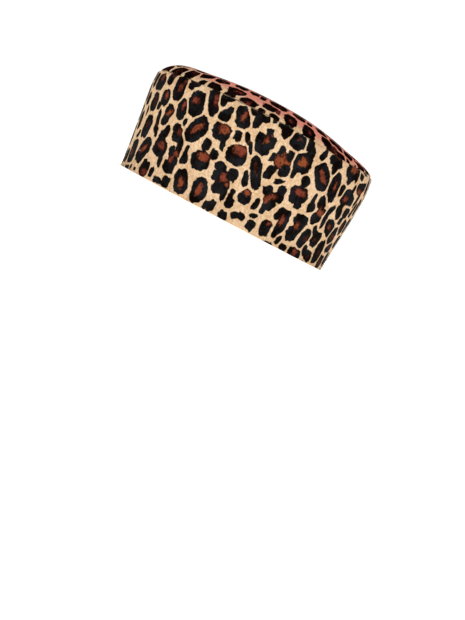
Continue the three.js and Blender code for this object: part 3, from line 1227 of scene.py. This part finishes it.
@dataclass
class SideBand:
    """The upright side of the hat: an oval wall of hide with its lower edge turned in.

    The two ends of a span of depths are where the hide's outer side or its hair fades out. The map is
    the square of `map_side` millimetres that a bake draws a pile on, in two rows that are
    `map_row` long.
    """

    form: HatForm
    columns: int = 144
    levels: int = 2
    stands_for: str = "side_band"
    slot: str = "band_hide"
    outer_rings: int = 20
    outer_span: Span = (0.045, 0.955)
    inner_shares: tuple[float, ...] = (0.94, 0.82, 0.66, 0.5, 0.34, 0.2)
    wall: float = 2.8 * MM
    hem_wall: float = 3.4 * MM
    hem_height: float = 11.5 * MM
    hem_fade: Span = (0.2 * MM, -0.4 * MM)
    even_rim: float = 14 * MM
    hair_start: float = 0.4 * MM
    hair_depths: Span = (1.5 * MM, 1.0 * MM)
    map_side: float = 174.0
    map_row: float = 155.0
    map_margin: float = 2.0
    laid_out: np.ndarray | None = None

    def section(self) -> list[Ring]:
        """The rings up the outer side, over the top, down the inner side and round the rim."""
        top, hem = self.form.band_top, self.hem_height
        ups = np.linspace(*self.outer_span, self.outer_rings)
        wall_out = self.form.band_out(hem / top) - self.wall
        hem_out = self.form.band_out(hem / top) - self.hem_wall
        places = [
            *RIM_OUTSIDE,
            *((up * top, self.form.band_out(up)) for up in ups),
            *((top + row.above, row.out) for row in BAND_TOP),
            *((up * top, self.form.band_out(up) - self.wall) for up in self.inner_shares),
            (hem + 0.8 * MM, wall_out),
            (hem + 0.1 * MM, wall_out - 0.1 * MM),
            (hem - 0.6 * MM, hem_out),
            (hem / 2, hem_out),
            (1.0 * MM, hem_out + 0.1 * MM),
            *RIM_INSIDE,
        ]
        return [self.form.ring(height, out) for height, out in places]

    def build(self) -> bpy.types.Object:
        """Models the band.

        Returns:
            The finished object, without its print.
        """
        first, *others = self.section()
        model = RingModel("band_hide", self.columns, first)
        for ring in others:
            model.extrude_to(ring)
        model.join_ends()
        thing = model.finish()
        subdivide(thing, self.levels)
        self.settle(thing.data)
        return thing

    def settle(self, mesh: bpy.types.Mesh) -> None:
        """Arches the seam, and gives the hide its small swells and the seam at the back."""
        points = read_points(mesh)
        top = self.form.band_top
        points[:, 2] *= (top + self.form.arch(self.form.turns(points))) / top
        write_points(mesh, points)
        normals = read_normals(mesh)
        above_rim = smooth_step(0, self.even_rim, points[:, 2])
        amount = self.form.unevenness(points) * above_rim
        from_back = np.where(points[:, 1] > 0, points[:, 0], self.form.rim_half_width)
        outer = self.form.band_outside(points)
        valley = np.exp(-((from_back / self.form.back_seam_width) ** 2))
        self.laid_out = points.copy()
        points += normals * (amount - outer * self.form.back_seam_depth * valley)[:, None]
        write_points(mesh, self.form.settled(points))

    def covered(self) -> np.ndarray:
        """Where hair grows on the band: 1 for the vertices of its outer side."""
        above = self.laid_out[:, 2] > self.hair_start
        return above * smooth_step(*self.hair_depths, self.form.inwards(self.laid_out))

    def dress(self, thing: bpy.types.Object, points: np.ndarray, panel: PrintPanel) -> None:
        """Puts the print on the band or on its hair.

        Args:
            thing: The band or a pile of its hair.
            points: Where its vertices were before the hide settled.
            panel: The print, laid out along the band and up it.
        """
        outer = self.form.band_outside(points)
        up = np.where(outer > 0.5, points[:, 2], -points[:, 2]) / MM
        spot, core = panel.read(self.form.girth_places(points), up)
        in_hem = smooth_step(*self.hem_fade, points[:, 2] - self.hem_height)
        write_values(thing.data, "spot", spot)
        write_values(thing.data, "core", core)
        write_values(thing.data, "painted_pink_light", np.zeros(len(points)))
        write_values(thing.data, "flesh", (1 - outer) * (1 - in_hem))

    def lay_map(self, hair: bpy.types.Object, pile: "Pile") -> None:
        """Lays a pile that goes halfway round the band out on its map, in two rows."""
        side = -pile.stretch.value
        girth = self.form.girth_places(pile.spread * (side, side, 1))
        middles = girth.reshape(pile.count, -1).mean(axis=1)
        on_left = np.repeat(middles > 0, len(girth) // pile.count)
        across = np.where(on_left, girth, girth + self.map_row) + self.map_margin
        up = pile.spread[:, 2] / MM + self.map_margin + on_left * self.map_side / 2
        write_map(hair.data, across / self.map_side, up / self.map_side)


@dataclass
class CrownTip:
    """The top of the hat: a domed oval of hide whose edge is turned down inside the band."""

    form: HatForm
    columns: int = 144
    levels: int = 2
    stands_for: str = "crown_tip"
    slot: str = "tip_hide"
    wall: float = 2.8 * MM
    seam_gap: float = 0.1 * MM
    pole_share: float = 0.02
    outer_shares: tuple[float, ...] = (
        0.1, 0.19, 0.28, 0.37, 0.46, 0.54, 0.61, 0.68, 0.74, 0.79,
        0.83, 0.87, 0.9, 0.925, 0.945, 0.962, 0.977,
    )
    inner_shares: tuple[float, ...] = (0.94, 0.86, 0.74, 0.56, 0.34, 0.16)
    outer_depths: Span = (-1.9 * MM, -1.3 * MM)
    hair_depths: Span = (-1.0 * MM, -0.6 * MM)
    # Where the ground is painted pink, standing for the pinkish light that falls on the top.
    pink_light_edge: Span = (0.985, 0.92)
    pink_light_left: Span = (25 * MM, 70 * MM)
    pink_light_left_gain: float = 0.04
    pink_light_right: Span = (-86 * MM, -48 * MM)
    map_side: float = 214.0
    laid_out: np.ndarray | None = None

    def section(self) -> list[Ring]:
        """The rings from the top's middle out to the seam, down inside the band, and back in."""
        form = self.form
        outer = [
            form.tip_ring(form.even_dome_height(share), share)
            for share in (self.pole_share, *self.outer_shares)
        ]
        edge = form.band_top + self.seam_gap
        turned = [form.ring(edge + row.above, row.out) for row in TIP_EDGE]
        inner = []
        for share in (*self.inner_shares, self.pole_share):
            slope = form.even_dome_slope(share)
            steepness = math.hypot(1, slope)
            moved = share + self.wall * slope / steepness / (form.rim_half_width + form.seam_out)
            height = form.even_dome_height(share) - self.wall / steepness
            inner.append(form.tip_ring(height, max(moved, self.pole_share)))
        return [*outer, *turned, *inner]

    def build(self) -> bpy.types.Object:
        """Models the tip.

        Returns:
            The finished object, without its print.
        """
        first, *others = self.section()
        model = RingModel("tip_hide", self.columns, first)
        for ring in others:
            model.extrude_to(ring)
        model.close_poles()
        thing = model.finish()
        cage = read_points(thing.data)
        cage[:, 2] += self.form.dome_lift(cage)
        write_points(thing.data, cage)
        subdivide(thing, self.levels)
        points = read_points(thing.data)
        self.laid_out = points.copy()
        points += read_normals(thing.data) * self.form.unevenness(points)[:, None]
        write_points(thing.data, self.form.settled(points))
        return thing

    def above_dome(self, points: np.ndarray) -> np.ndarray:
        """How far above the tip's outer side each point is, below 0 inside the hat."""
        share = np.minimum(self.form.tip_shares(points), 1)
        return points[:, 2] - (self.form.even_dome_height(share) + self.form.dome_lift(points))

    def outside(self, points: np.ndarray) -> np.ndarray:
        """1 on the tip's outer side, and 0 on its inner side and its turned-down edge."""
        return smooth_step(*self.outer_depths, self.above_dome(points))

    def covered(self) -> np.ndarray:
        """Where hair grows on the tip: 1 for the vertices of its outer side."""
        return smooth_step(*self.hair_depths, self.above_dome(self.laid_out))

    def painted_pink_light(self, points: np.ndarray) -> np.ndarray:
        """How much of the ground is painted pink, standing for the pinkish light that falls on the top:
        all the way out to the seam only towards the wearer's left, and not at all at the wearer's right."""
        towards_left = smooth_step(*self.pink_light_left, points[:, 0])
        share = self.form.tip_shares(points) - self.pink_light_left_gain * towards_left
        return smooth_step(*self.pink_light_edge, share) * smooth_step(*self.pink_light_right, points[:, 0])

    def dress(self, thing: bpy.types.Object, points: np.ndarray, panel: PrintPanel) -> None:
        """Puts the print on the tip or on its hair.

        Args:
            thing: The tip or a pile of its hair.
            points: Where its vertices were before the hide settled.
            panel: The print, laid out as seen from above.
        """
        spot, core = panel.read(points[:, 0] / MM, points[:, 1] / MM)
        write_values(thing.data, "spot", spot)
        write_values(thing.data, "core", core)
        # The painted pink light on the ground.
        write_values(thing.data, "painted_pink_light", self.painted_pink_light(points))
        write_values(thing.data, "flesh", 1 - self.outside(points))

    def lay_map(self, hair: bpy.types.Object, pile: "Pile") -> None:
        """Lays the pile out on its map as it is seen from above."""
        across, up = (pile.spread[:, :2] / MM / self.map_side + 0.5).T
        write_map(hair.data, across, up)


@dataclass(frozen=True)
class Strand:
    """One short hair: a thin spike that lies almost flat, rooted just under the surface."""

    length: float = 1.9 * MM
    width: float = 0.24 * MM
    thickness: float = 0.09 * MM
    lift: float = 0.24 * MM
    depth: float = 0.06 * MM
    corners: int = 3

    def model(self) -> tuple[np.ndarray, np.ndarray]:
        """Models a hair that runs along +X with its back to +Z.

        Returns:
            The places of its vertices, and the corners of its triangles.
        """
        deselect_all()
        bpy.ops.mesh.primitive_cone_add(
            vertices=self.corners, radius1=0.5, radius2=0, depth=1, end_fill_type="TRIFAN"
        )
        thing = bpy.context.object
        bpy.ops.object.mode_set(mode="EDIT")
        bpy.ops.mesh.select_all(action="SELECT")
        bpy.ops.transform.translate(value=(0, 0, 0.5))
        bpy.ops.mesh.dissolve_limited(angle_limit=math.radians(5))
        bpy.ops.mesh.quads_convert_to_tris()
        bpy.ops.object.mode_set(mode="OBJECT")
        put_in_order(thing.data)
        upright = read_points(thing.data)
        points = np.column_stack(
            [upright[:, 2] * self.length, upright[:, 0] * self.width, upright[:, 1] * self.thickness]
        )
        points[:, 2] += upright[:, 2] * self.lift - self.depth
        corners = np.array([list(face.vertices) for face in thing.data.polygons])
        bpy.data.objects.remove(thing)
        return points, corners


class Stretch(Enum):
    """Which part of a piece of hide a pile covers, as its side of the plane Y = 0."""

    FRONT = -1
    BACK = 1
    WHOLE = 0

    def share(self, points: np.ndarray) -> np.ndarray:
        """1 for the points that it takes in, and 0 for the others."""
        if self is Stretch.WHOLE:
            return np.ones(len(points))
        return smooth_step(-1 * MM, 1 * MM, self.value * points[:, 1])


@dataclass
class Pile:
    """The short hair on a stretch of hide, all of it one mesh of separate spikes.

    Lengths and lifts are shares of the strand's own. A hair just above the floor is shortened, so that
    it ends above it.
    """

    name: str
    stretch: Stretch
    run: Place
    seed: int
    count: int = 49000
    strand: Strand = Strand()
    lengths: Span = (0.75, 1.15)
    shortest: float = 0.12
    floor_room: float = 0.05
    lifts: Span = (0.5, 1.4)
    fan: float = 0.16
    tone_spread: float = 0.1
    map_widening: float = 3.0
    map_deepening: float = 5.0
    places: np.ndarray | None = None
    spread: np.ndarray | None = None

    def roots(self, skin: bpy.types.Mesh, wanted: np.ndarray) -> tuple[np.ndarray, ...]:
        """Picks random places on the hide, evenly spread over its area.

        Args:
            skin: The hide's mesh.
            wanted: From 0 to 1 for each vertex, how much hair grows there.

        Returns:
            For each root, the three vertices round it and their shares.
        """
        skin.calc_loop_triangles()
        triangles = np.empty(len(skin.loop_triangles) * 3, int)
        skin.loop_triangles.foreach_get("vertices", triangles)
        triangles = triangles.reshape(-1, 3)
        points = read_points(skin)
        a, b, c = (points[triangles[:, k]] for k in range(3))
        areas = np.linalg.norm(np.cross(b - a, c - a), axis=1) * wanted[triangles].min(axis=1)
        random = np.random.default_rng(self.seed)
        cells = (np.arange(self.count) + random.uniform(0, 1, self.count)) / self.count
        total = np.cumsum(areas)
        picked = triangles[np.searchsorted(total, cells * total[-1])]
        first, second = np.sqrt(random.uniform(0, 1, self.count)), random.uniform(0, 1, self.count)
        shares = np.column_stack([1 - first, first * (1 - second), first * second])
        return picked, shares

    def grow(self, skin: bpy.types.Object, wanted: np.ndarray, laid_out: np.ndarray) -> bpy.types.Object:
        """Grows the hair.

        Args:
            skin: The piece of hide.
            wanted: From 0 to 1 for each of its vertices, how much hair grows there.
            laid_out: Where each of its vertices was before the hide settled.

        Returns:
            The pile. `places` then says where its vertices were before the hide settled, and `spread`
            the same for hairs so wide that each of their faces covers something on a map.
        """
        picked, shares = self.roots(skin.data, wanted)
        roots, normals, places = (
            (values[picked] * shares[:, :, None]).sum(axis=1)
            for values in (read_points(skin.data), read_normals(skin.data), laid_out)
        )
        normals /= np.linalg.norm(normals, axis=1)[:, None]
        random = np.random.default_rng(self.seed + 1)
        forward = np.asarray(self.run) - normals * (normals @ np.asarray(self.run))[:, None]
        forward /= np.linalg.norm(forward, axis=1)[:, None]
        sideways = np.cross(normals, forward)
        yaw = random.normal(0, self.fan, self.count)[:, None]
        forward, sideways = (
            forward * np.cos(yaw) + sideways * np.sin(yaw),
            sideways * np.cos(yaw) - forward * np.sin(yaw),
        )
        shape, corners = self.strand.model()
        lengths = random.uniform(*self.lengths, self.count)
        room = roots[:, 2] / self.strand.length - self.floor_room
        lengths = np.minimum(lengths, np.maximum(room, self.shortest))
        along = shape[None, :, 0, None] * lengths[:, None, None] * forward[:, None, :]
        across = shape[None, :, 1, None] * sideways[:, None, :]
        lifts = random.uniform(*self.lifts, self.count)[:, None, None]
        above = shape[None, :, 2, None] * lifts * normals[:, None, :]
        points = (roots[:, None, :] + along + across + above).reshape(-1, 3)
        faces = (corners[None] + (np.arange(self.count) * len(shape))[:, None, None]).reshape(-1, 3)
        mesh = bpy.data.meshes.new(self.name)
        mesh.from_pydata(points, [], faces)
        thing = bpy.data.objects.new(self.name, mesh)
        bpy.context.scene.collection.objects.link(thing)
        self.places = (places[:, None, :] + along + across).reshape(-1, 3)
        thick = np.where(shape[:, 0] > 0, 0, shape[:, 2])[None, :, None] * forward[:, None, :]
        spread = along + self.map_widening * across + self.map_deepening * thick
        self.spread = (places[:, None, :] + spread).reshape(-1, 3)
        tones = np.repeat(random.normal(0, self.tone_spread, self.count), len(shape))
        write_values(mesh, "tone", tones)
        log.info("%s has %d hairs and %d faces", self.name, self.count, len(faces))
        return thing


def print_band(seed: int) -> PrintPanel:
    """Lays out the band's print: the front by its chart, and the rest in the same manner."""
    half_girth, charted_end = 306.0, 131.0
    hem_end, back_low, charted_low, top = -14.0, -12.0, -3.0, 86.0
    panel = PrintPanel((-half_girth, hem_end), (half_girth, top), seed)
    panel.add_chart(BAND_PRINT)
    panel.scatter((-half_girth, back_low), (-charted_end, top))
    panel.scatter((charted_end, back_low), (half_girth, top))
    panel.scatter((-charted_end, hem_end), (charted_end, charted_low))
    return panel


def print_tip(seed: int) -> PrintPanel:
    """Lays out the tip's print: the front by its chart, and the rest in the same manner."""
    half_width, half_depth, scattered_from = 99.0, 107.0, -60.0
    panel = PrintPanel(
        (-half_width, -half_depth), (half_width, half_depth), seed, growth=0.6, channel=1.4
    )
    panel.add_chart(TIP_PRINT)
    panel.scatter((-half_width, scattered_from), (half_width, half_depth))
    return panel


def clothe(part: SideBand | CrownTip, panel: PrintPanel, finish: HideFinish, *piles: Pile) -> None:
    """Makes one part of the hat, with its print and its hair.

    Args:
        part: The part.
        panel: Its print.
        finish: The look of its hide and its hair.
        *piles: Its hair.
    """
    hide = part.build()
    material = finish.make()
    write_values(hide.data, "tone", np.zeros(len(part.laid_out)))
    part.dress(hide, part.laid_out, panel)
    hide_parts(part.stands_for)
    pieces = [hide]
    for pile in piles:
        wanted = part.covered() * pile.stretch.share(part.laid_out)
        hair = pile.grow(hide, wanted, part.laid_out)
        part.dress(hair, pile.places, panel)
        part.lay_map(hair, pile)
        pieces.append(hair)
    for piece in pieces:
        piece.data.materials.append(material)
        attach(piece, "root")
        log.info("%s has %d faces", piece.name, len(piece.data.polygons))


@dataclass(frozen=True)
class Softbox:
    """A square studio light."""

    name: str
    place: Place
    size: float
    watts: float
    aim: Place = (0.0, 0.0, 0.05)

    def add(self) -> None:
        """Adds the light, which the camera doesn't see."""
        deselect_all()
        bpy.ops.object.light_add(type="AREA", location=self.place)
        lamp = bpy.context.object
        lamp.name = self.name
        lamp.rotation_euler = (Vector(self.aim) - Vector(self.place)).to_track_quat("-Z", "Y").to_euler()
        lamp.data.size = self.size
        lamp.data.energy = self.watts
        lamp.visible_camera = False


@dataclass(frozen=True)
class Studio:
    """The pale floor, the white surroundings and the soft light."""

    floor_size: float = 14.0
    backdrop_radius: float = 6.5
    world_strength: float = 0.385
    softboxes: tuple[Softbox, ...] = (
        Softbox("key_softbox", place=(0.12, -2.0, 0.54), size=1.1, watts=8.5),
        Softbox("top_softbox", place=(0.1, 0.1, 1.8), size=1.4, watts=10.4),
        Softbox("rear_softbox", place=(0.5, 1.9, 0.8), size=1.3, watts=15.0),
    )

    def build(self) -> None:
        """Adds the floor, the surroundings and the lights."""
        deselect_all()
        bpy.ops.mesh.primitive_plane_add(size=self.floor_size)
        floor = bpy.context.object
        floor.name = "studio_floor"
        floor.data.materials.append(FloorFinish().make())
        deselect_all()
        bpy.ops.mesh.primitive_uv_sphere_add(radius=self.backdrop_radius, segments=48, ring_count=24)
        backdrop = bpy.context.object
        backdrop.name = "studio_backdrop"
        backdrop.visible_diffuse = False
        backdrop.visible_glossy = False
        backdrop.visible_shadow = False
        graph = Graph("studio_white")
        white = graph.surface(Base_Color=(0, 0, 0, 1), Emission_Color=(1, 1, 1, 1), Emission_Strength=1.0)
        backdrop.data.materials.append(white)
        world = bpy.data.worlds.new("studio_world")
        world.use_nodes = True
        sky = world.node_tree.nodes["Background"]
        sky.inputs["Strength"].default_value = self.world_strength
        sky.inputs["Color"].default_value = (1, 1, 1, 1)
        bpy.context.scene.world = world
        bpy.context.scene.view_settings.view_transform = "Standard"
        for softbox in self.softboxes:
            softbox.add()


@dataclass(frozen=True)
class StudioCamera:
    """The camera, as low and as far away as in the photo, rolled so that the hat looks tilted."""

    place: Place = (0.0, -1.3, 0.013)
    aim: Place = (0.0424, 0.0, -0.0606)
    roll_deg: float = 27.8
    lens_mm: float = 95.3
    sensor_mm: float = 36.0
    clip: Span = (0.01, 40.0)

    def add(self) -> None:
        """Adds the camera and makes it the scene's own."""
        deselect_all()
        bpy.ops.object.camera_add(location=self.place)
        camera = bpy.context.object
        camera.name = "studio_camera"
        camera.data.lens = self.lens_mm
        camera.data.sensor_width = self.sensor_mm
        camera.data.clip_start, camera.data.clip_end = self.clip
        level = (Vector(self.aim) - Vector(self.place)).to_track_quat("-Z", "Y")
        roll = Matrix.Rotation(math.radians(self.roll_deg), 3, "Z")
        camera.rotation_euler = (level.to_matrix() @ roll).to_euler()
        bpy.context.scene.camera = camera


def main() -> None:
    """Builds the hat and its studio."""
    logging.basicConfig(level=logging.INFO)
    form = HatForm.from_frame()
    log.info("rim %.1f x %.1f mm", 2 * form.rim_half_width / MM, 2 * form.rim_half_depth / MM)
    Studio().build()
    StudioCamera().add()

    down, forward = (0, 0, -1), (0, -1, 0)
    clothe(
        SideBand(form),
        print_band(seed=11),
        HideFinish("band_coat", HairRun.DOWN),
        Pile("band_pile_front", Stretch.FRONT, down, seed=31),
        Pile("band_pile_back", Stretch.BACK, down, seed=37),
    )
    # The tip's browns and blacks are redder than the band's: partly the hide's own colour and partly
    # painted pinkish light that falls on the top.
    tip_finish = HideFinish(
        "tip_coat",
        HairRun.FORWARD,
        brown=(46, 16, 12),
        bright_brown=(132, 60, 38),
        brick=(122, 46, 40),
        black=(11, 4, 2),
        black_tone_and_sheen=(28, 17, 16),
        specular=0.0,
        bleed=-0.1,
    )
    tip_pile = Pile("tip_pile", Stretch.WHOLE, forward, seed=41)
    clothe(CrownTip(form), print_tip(seed=23), tip_finish, tip_pile)


if __name__ == "__main__":
    main()
